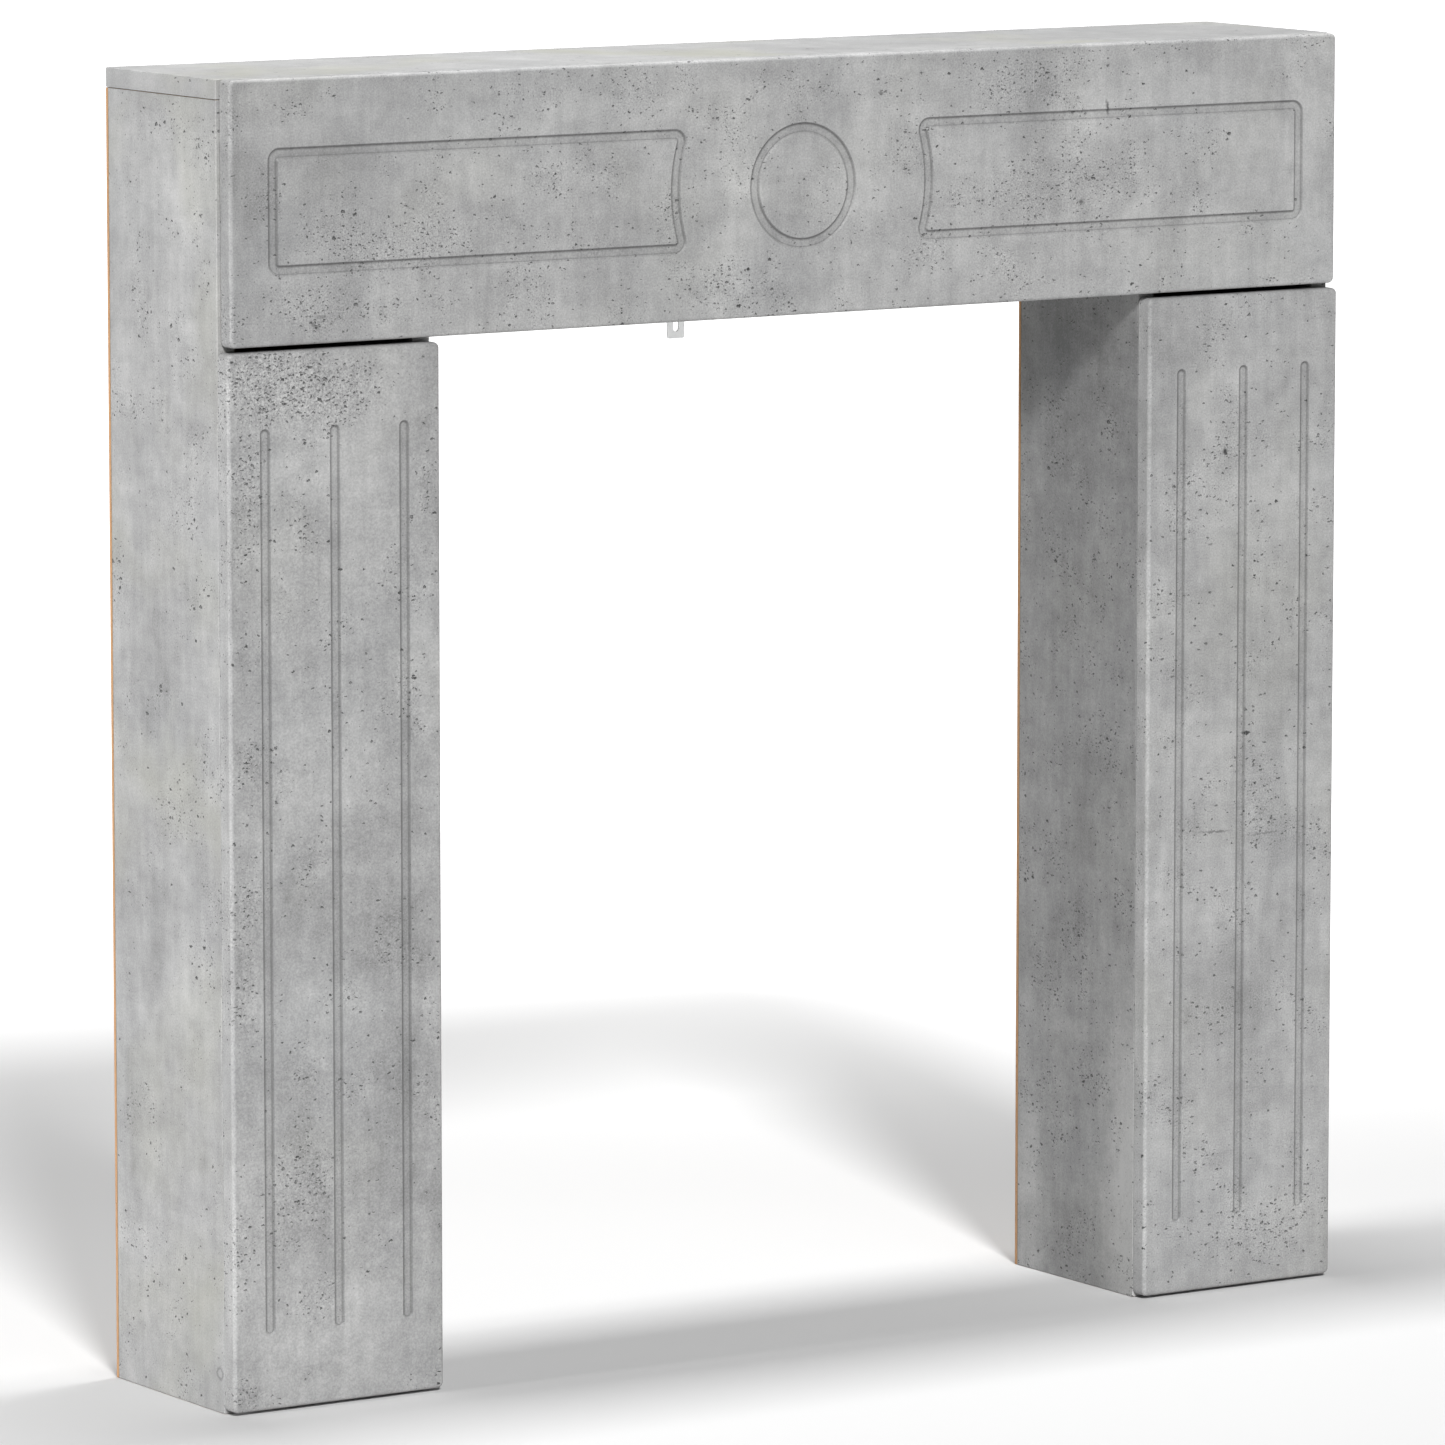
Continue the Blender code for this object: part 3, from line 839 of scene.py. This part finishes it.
class SURROUND_OT_side_boards(Operator):
    """Build the outer and inner side boards of the legs"""

    bl_idname = "surround.side_boards"
    bl_label = "Side boards"

    def execute(self, context):
        finish = context.scene.surround_finish
        marks = {
            "left_outer_side": ((7.7, 2.1, 0.4), 0.30, left_side_clouds, left_side_pores, left_side_strokes),
            "left_inner_side": ((1.3, 6.2, 5.5), 0.10, (), (), ()),
            "right_inner_side": ((9.4, 3.8, 2.6), 0.06, right_inner_print_and_painted_light, (), ()),
            "right_outer_side": ((4.6, 8.3, 6.1), 0.20, (), (), ()),
        }
        for node, (shift, warmth, clouds, pores, strokes) in marks.items():
            piece = plain_board(node, context.scene.surround_shape.board_edge)
            foil = concrete_foil("concrete_foil_" + node, finish, shift, side_plane, clouds, pores, strokes,
                                 warmth=warmth, grain=0.60, pitted=0.9)
            finish_piece(piece, node, foil, board_core(finish),
                         lambda face: abs(face.normal.z) > 0.9)
        return {"FINISHED"}


class SURROUND_OT_mantel_top(Operator):
    """Build the shelf board on top"""

    bl_idname = "surround.mantel_top"
    bl_label = "Mantel top"

    def execute(self, context):
        piece = plain_board("mantel_top", context.scene.surround_shape.board_edge)
        foil = concrete_foil("concrete_foil_top", context.scene.surround_finish, (3.9, 5.2, 8.8), top_plane,
                             warmth=0.5, contrast=0.7, pitted=0.15)
        finish_piece(piece, "mantel_top", foil)
        return {"FINISHED"}


class SURROUND_OT_back_rail(Operator):
    """Build the rail between the legs at the back"""

    bl_idname = "surround.back_rail"
    bl_label = "Back rail"

    def execute(self, context):
        screw = context.scene.surround_bracket
        finish = context.scene.surround_finish
        piece = plain_board("header_back_rail", context.scene.surround_shape.board_edge)
        back = corners("header_back_rail")[1].y
        outline = arc(0.0, screw.screw_height, screw.thread_radius + screw.clearance, 0, 360, 32)[:-1]
        hole = bmesh.new()
        loft(hole, [(outline, back + cutter_lift), (outline, back - screw.pilot_depth)])
        carve(piece, hole)
        foil = concrete_foil("concrete_foil_rail", finish, (6.6, 1.1, 7.2), front_plane)
        finish_piece(piece, "header_back_rail", foil, board_core(finish),
                     lambda face: abs(face.normal.x) > 0.9 and face.area > 0.001)
        return {"FINISHED"}


class SURROUND_OT_leg_backs(Operator):
    """Build the thin hardboard backs of the legs"""

    bl_idname = "surround.leg_backs"
    bl_label = "Leg backs"

    def execute(self, context):
        finish = context.scene.surround_finish
        face_finish = fibre_material("hardboard_face", finish.hardboard, 0.0012, 0.55, 0.0002)
        edge_finish = fibre_material("hardboard_edge", finish.hardboard_edge, 0.0007, 0.85, 0.0004)
        for node in ("left_leg_back", "right_leg_back"):
            piece = plain_board(node, context.scene.surround_shape.sheet_edge, 2)
            finish_piece(piece, node, face_finish, edge_finish,
                         lambda face: abs(face.normal.y) < 0.5)
        return {"FINISHED"}


class SURROUND_OT_wall_bracket(Operator):
    """Build the slotted wall strap"""

    bl_idname = "surround.wall_bracket"
    bl_label = "Wall strap"

    def execute(self, context):
        sizes = context.scene.surround_bracket
        low, high = corners("wall_bracket")
        middle, half_width, half_height = face_of("wall_bracket")
        edge = sizes.strap_edge
        front = [(inset, low.y + deep) for inset, deep in rounded_edge(edge, 3)]
        rear = [(inset, low.y + high.y - y) for inset, y in reversed(front)]
        strap = bmesh.new()
        loft(strap, [(rounded_rectangle(middle, half_width - inset, half_height - inset,
                                        sizes.strap_corner - inset, 8), y) for inset, y in front + rear])
        piece = new_piece("wall_bracket", strap)
        radius = sizes.slot_width / 2
        flare = edge * 0.6
        slot_low = low.z + sizes.slot_margin
        sections = []
        for grown, y in ((flare, low.y - cutter_lift), (flare, low.y), (0.0, low.y + flare),
                         (0.0, high.y - flare), (flare, high.y), (flare, high.y + cutter_lift)):
            sections.append((round_ended_slot(0.0, slot_low - grown, sizes.slot_top + grown,
                                              radius + grown, 12), y))
        cutter = bmesh.new()
        loft(cutter, sections)
        mouth = sizes.head_radius + sizes.clearance
        neck = sizes.thread_radius + sizes.clearance
        hole = ((mouth + cutter_lift, high.y + cutter_lift), (mouth, high.y), (neck, low.y),
                (neck, low.y - cutter_lift))
        loft(cutter, [(arc(0.0, sizes.screw_height, reach, 0, 360, 40)[:-1], y) for reach, y in hole])
        carve(piece, cutter)
        finish_piece(piece, "wall_bracket", powder_coat(context.scene.surround_finish))
        return {"FINISHED"}


class SURROUND_OT_bracket_screw(Operator):
    """Build the countersunk screw with its cross recess"""

    bl_idname = "surround.bracket_screw"
    bl_label = "Strap screw"

    def execute(self, context):
        sizes = context.scene.surround_bracket
        axis = sizes.screw_height
        low, high = corners("bracket_screw")
        head = high.y - sizes.head_height

        # Rows down the screw, as radius, place and height of the thread
        rows = [(sizes.head_radius * 0.93, high.y, 0.0), (sizes.head_radius, high.y - 0.00025, 0.0),
                (sizes.thread_radius, head, 0.0), (sizes.shank_radius, head - 0.0003, 0.0)]
        y = head - 0.0006
        while y > low.y + sizes.tip + 0.0004:
            rows.append((sizes.shank_radius, y, sizes.thread_radius - sizes.shank_radius))
            y -= sizes.thread_pitch / 8
        rows += [(sizes.shank_radius * 0.8, low.y + sizes.tip, 0.0), (sizes.shank_radius * 0.15, low.y, 0.0)]
        loops = []
        steps = 32
        for radius, y, ridge in rows:
            loop = []
            for step in range(steps):
                turned = 2 * math.pi * step / steps
                crest = max(0.0, math.cos(turned + 2 * math.pi * (y - low.y) / sizes.thread_pitch)) ** 3
                reach = radius + ridge * crest
                loop.append((reach * math.cos(turned), axis + reach * math.sin(turned)))
            loops.append((loop, y))
        screw = bmesh.new()
        loft(screw, loops)
        piece = new_piece("bracket_screw", screw)

        # A cross recess whose bars narrow towards their floor
        arm = sizes.head_radius * 0.62
        thick = sizes.head_radius * 0.15
        for upright in (False, True):
            sections = []
            for narrowed, y in ((1.0, high.y + 0.001), (1.0, high.y), (0.45, high.y - sizes.recess)):
                across, up = (thick, arm * narrowed) if upright else (arm * narrowed, thick)
                sections.append(([(across, axis + up), (-across, axis + up), (-across, axis - up),
                                  (across, axis - up)], y))
            bar = bmesh.new()
            loft(bar, sections)
            carve(piece, bar)
        finish_piece(piece, "bracket_screw", zinc_plate(context.scene.surround_finish))
        return {"FINISHED"}


class SURROUND_OT_stage(Operator):
    """Set up the floor, the lights and the camera"""

    bl_idname = "surround.stage"
    bl_label = "Stage"

    def execute(self, context):
        scene = context.scene
        stage = scene.surround_stage
        white = (1.0, 1.0, 1.0)
        shape = bmesh.new()
        bmesh.ops.create_circle(shape, cap_ends=True, radius=stage.floor_radius, segments=96)
        mesh = bpy.data.meshes.new("studio floor")
        shape.to_mesh(mesh)
        shape.free()
        floor = put_in_scene("studio_floor", mesh)
        # The floor lies just under the boards, so the two don't share a plane
        floor.location.z = -0.0002
        paint, add, shader, where = new_material("matt_studio_paint", 0.9)
        base = mottled(add, where, 0.4, 3.0, stage.floor, 0.985)[1]

        # The floor glows from just behind the surround and dims far behind and far to either
        # side, each as distance, dark end and bright end in metres
        back_right = (0.544, 0.839, 0.0)
        front_right = (0.839, -0.544, 0.0)
        behind = add("VectorMath", {0: where, 1: back_right}, operation="DOT_PRODUCT")
        beside = add("VectorMath", {0: where, 1: front_right}, operation="DOT_PRODUCT")
        aside = add("Math", {0: beside}, operation="ABSOLUTE")
        glow = stage.floor_glow
        for distance, dark_end, bright_end in ((behind, 0.5, 2.6), (behind, 34.0, 18.5), (aside, 14.0, 4.0)):
            glow = add("MapRange", {"Value": distance, "From Min": dark_end, "From Max": bright_end,
                                    "To Max": glow}, interpolation_type="SMOOTHSTEP")
        fill(shader, {"Base Color": base, "Specular IOR Level": 0.1, "Emission Color": white,
                      "Emission Strength": glow})
        mesh.materials.append(paint)

        world = bpy.data.worlds.new("white studio")
        world.use_nodes = True
        fill(world.node_tree.nodes["Background"], {"Color": white, "Strength": stage.sky})
        scene.world = world

        # The key lays the header's shadow on the right leg. Both boxes stand behind the front
        # faces, so the key alone models the grooves. The side box stands far off behind a grid,
        # so its light ends softly on the floor. The spot passes under the header and reaches
        # only the strap, which hangs in that shadow.
        lamps = (
            ("key_light", "SUN", (0.0, 0.0, 3.0), (-0.29, -0.80, 0.56),
             {"energy": stage.key, "angle": stage.key_size}),
            ("side_soft_box", "AREA", (-6.0, 0.0, 0.54), (-1.0, 0.0, 0.0),
             {"energy": stage.side, "shape": "RECTANGLE", "size": 0.18, "size_y": 1.1,
              "spread": math.radians(50)}),
            ("overhead_soft_box", "AREA", (0.0, 0.15, 3.0), (0.0, 0.0, 1.0),
             {"energy": stage.overhead, "shape": "RECTANGLE", "size": 1.0, "size_y": 0.35}),
            ("strap_spot", "SPOT", (-0.30, -1.50, 0.50), (-0.30, -1.59, -0.285),
             {"energy": stage.strap_spot, "spot_size": math.radians(3.2), "spot_blend": 0.5,
              "shadow_soft_size": 0.01}),
        )
        for name, kind, place, facing, settings in lamps:
            lamp = bpy.data.lights.new(name, kind)
            for setting, value in settings.items():
                setattr(lamp, setting, value)
            item = put_in_scene(name, lamp)
            item.location = place
            item.rotation_euler = Vector(facing).to_track_quat("Z", "Y").to_euler()

        camera = bpy.data.cameras.new("camera")
        camera.sensor_width = 36.0
        camera.lens = stage.lens
        camera.clip_end = 200.0
        item = put_in_scene("camera", camera)
        item.location = stage.camera_place
        item.rotation_euler = stage.camera_turn
        scene.camera = item

        plain_view = {"view_transform": "Standard", "look": "None", "exposure": 0.0, "gamma": 1.0}
        for setting, value in plain_view.items():
            setattr(scene.view_settings, setting, value)
        return {"FINISHED"}


build_order = (
    SURROUND_OT_header_front,
    SURROUND_OT_leg_fronts,
    SURROUND_OT_side_boards,
    SURROUND_OT_mantel_top,
    SURROUND_OT_back_rail,
    SURROUND_OT_leg_backs,
    SURROUND_OT_wall_bracket,
    SURROUND_OT_bracket_screw,
    SURROUND_OT_stage,
)

settings_groups = {
    "surround_shape": SurroundShape,
    "surround_bracket": SurroundBracket,
    "surround_finish": SurroundFinish,
    "surround_stage": SurroundStage,
}


class SURROUND_PT_sidebar(Panel):
    """Sizes, colours and build steps of the surround"""

    bl_idname = "SURROUND_PT_sidebar"
    bl_label = "Fireplace surround"
    bl_space_type = "VIEW_3D"
    bl_region_type = "UI"
    bl_category = "Surround"

    def draw(self, context):
        for name, group in settings_groups.items():
            box = self.layout.box()
            for setting in group.__annotations__:
                box.prop(getattr(context.scene, name), setting)
        for operator in build_order:
            self.layout.operator(operator.bl_idname)


classes = (*settings_groups.values(), *build_order, SURROUND_PT_sidebar)


def register():
    for item in classes:
        bpy.utils.register_class(item)
    for name, group in settings_groups.items():
        setattr(bpy.types.Scene, name, PointerProperty(type=group))


def unregister():
    for name in settings_groups:
        delattr(bpy.types.Scene, name)
    for item in reversed(classes):
        bpy.utils.unregister_class(item)


def main():
    register()
    for operator in build_order:
        area, name = operator.bl_idname.split(".")
        getattr(getattr(bpy.ops, area), name)()
    bpy.context.view_layer.update()


if __name__ == "__main__":
    main()
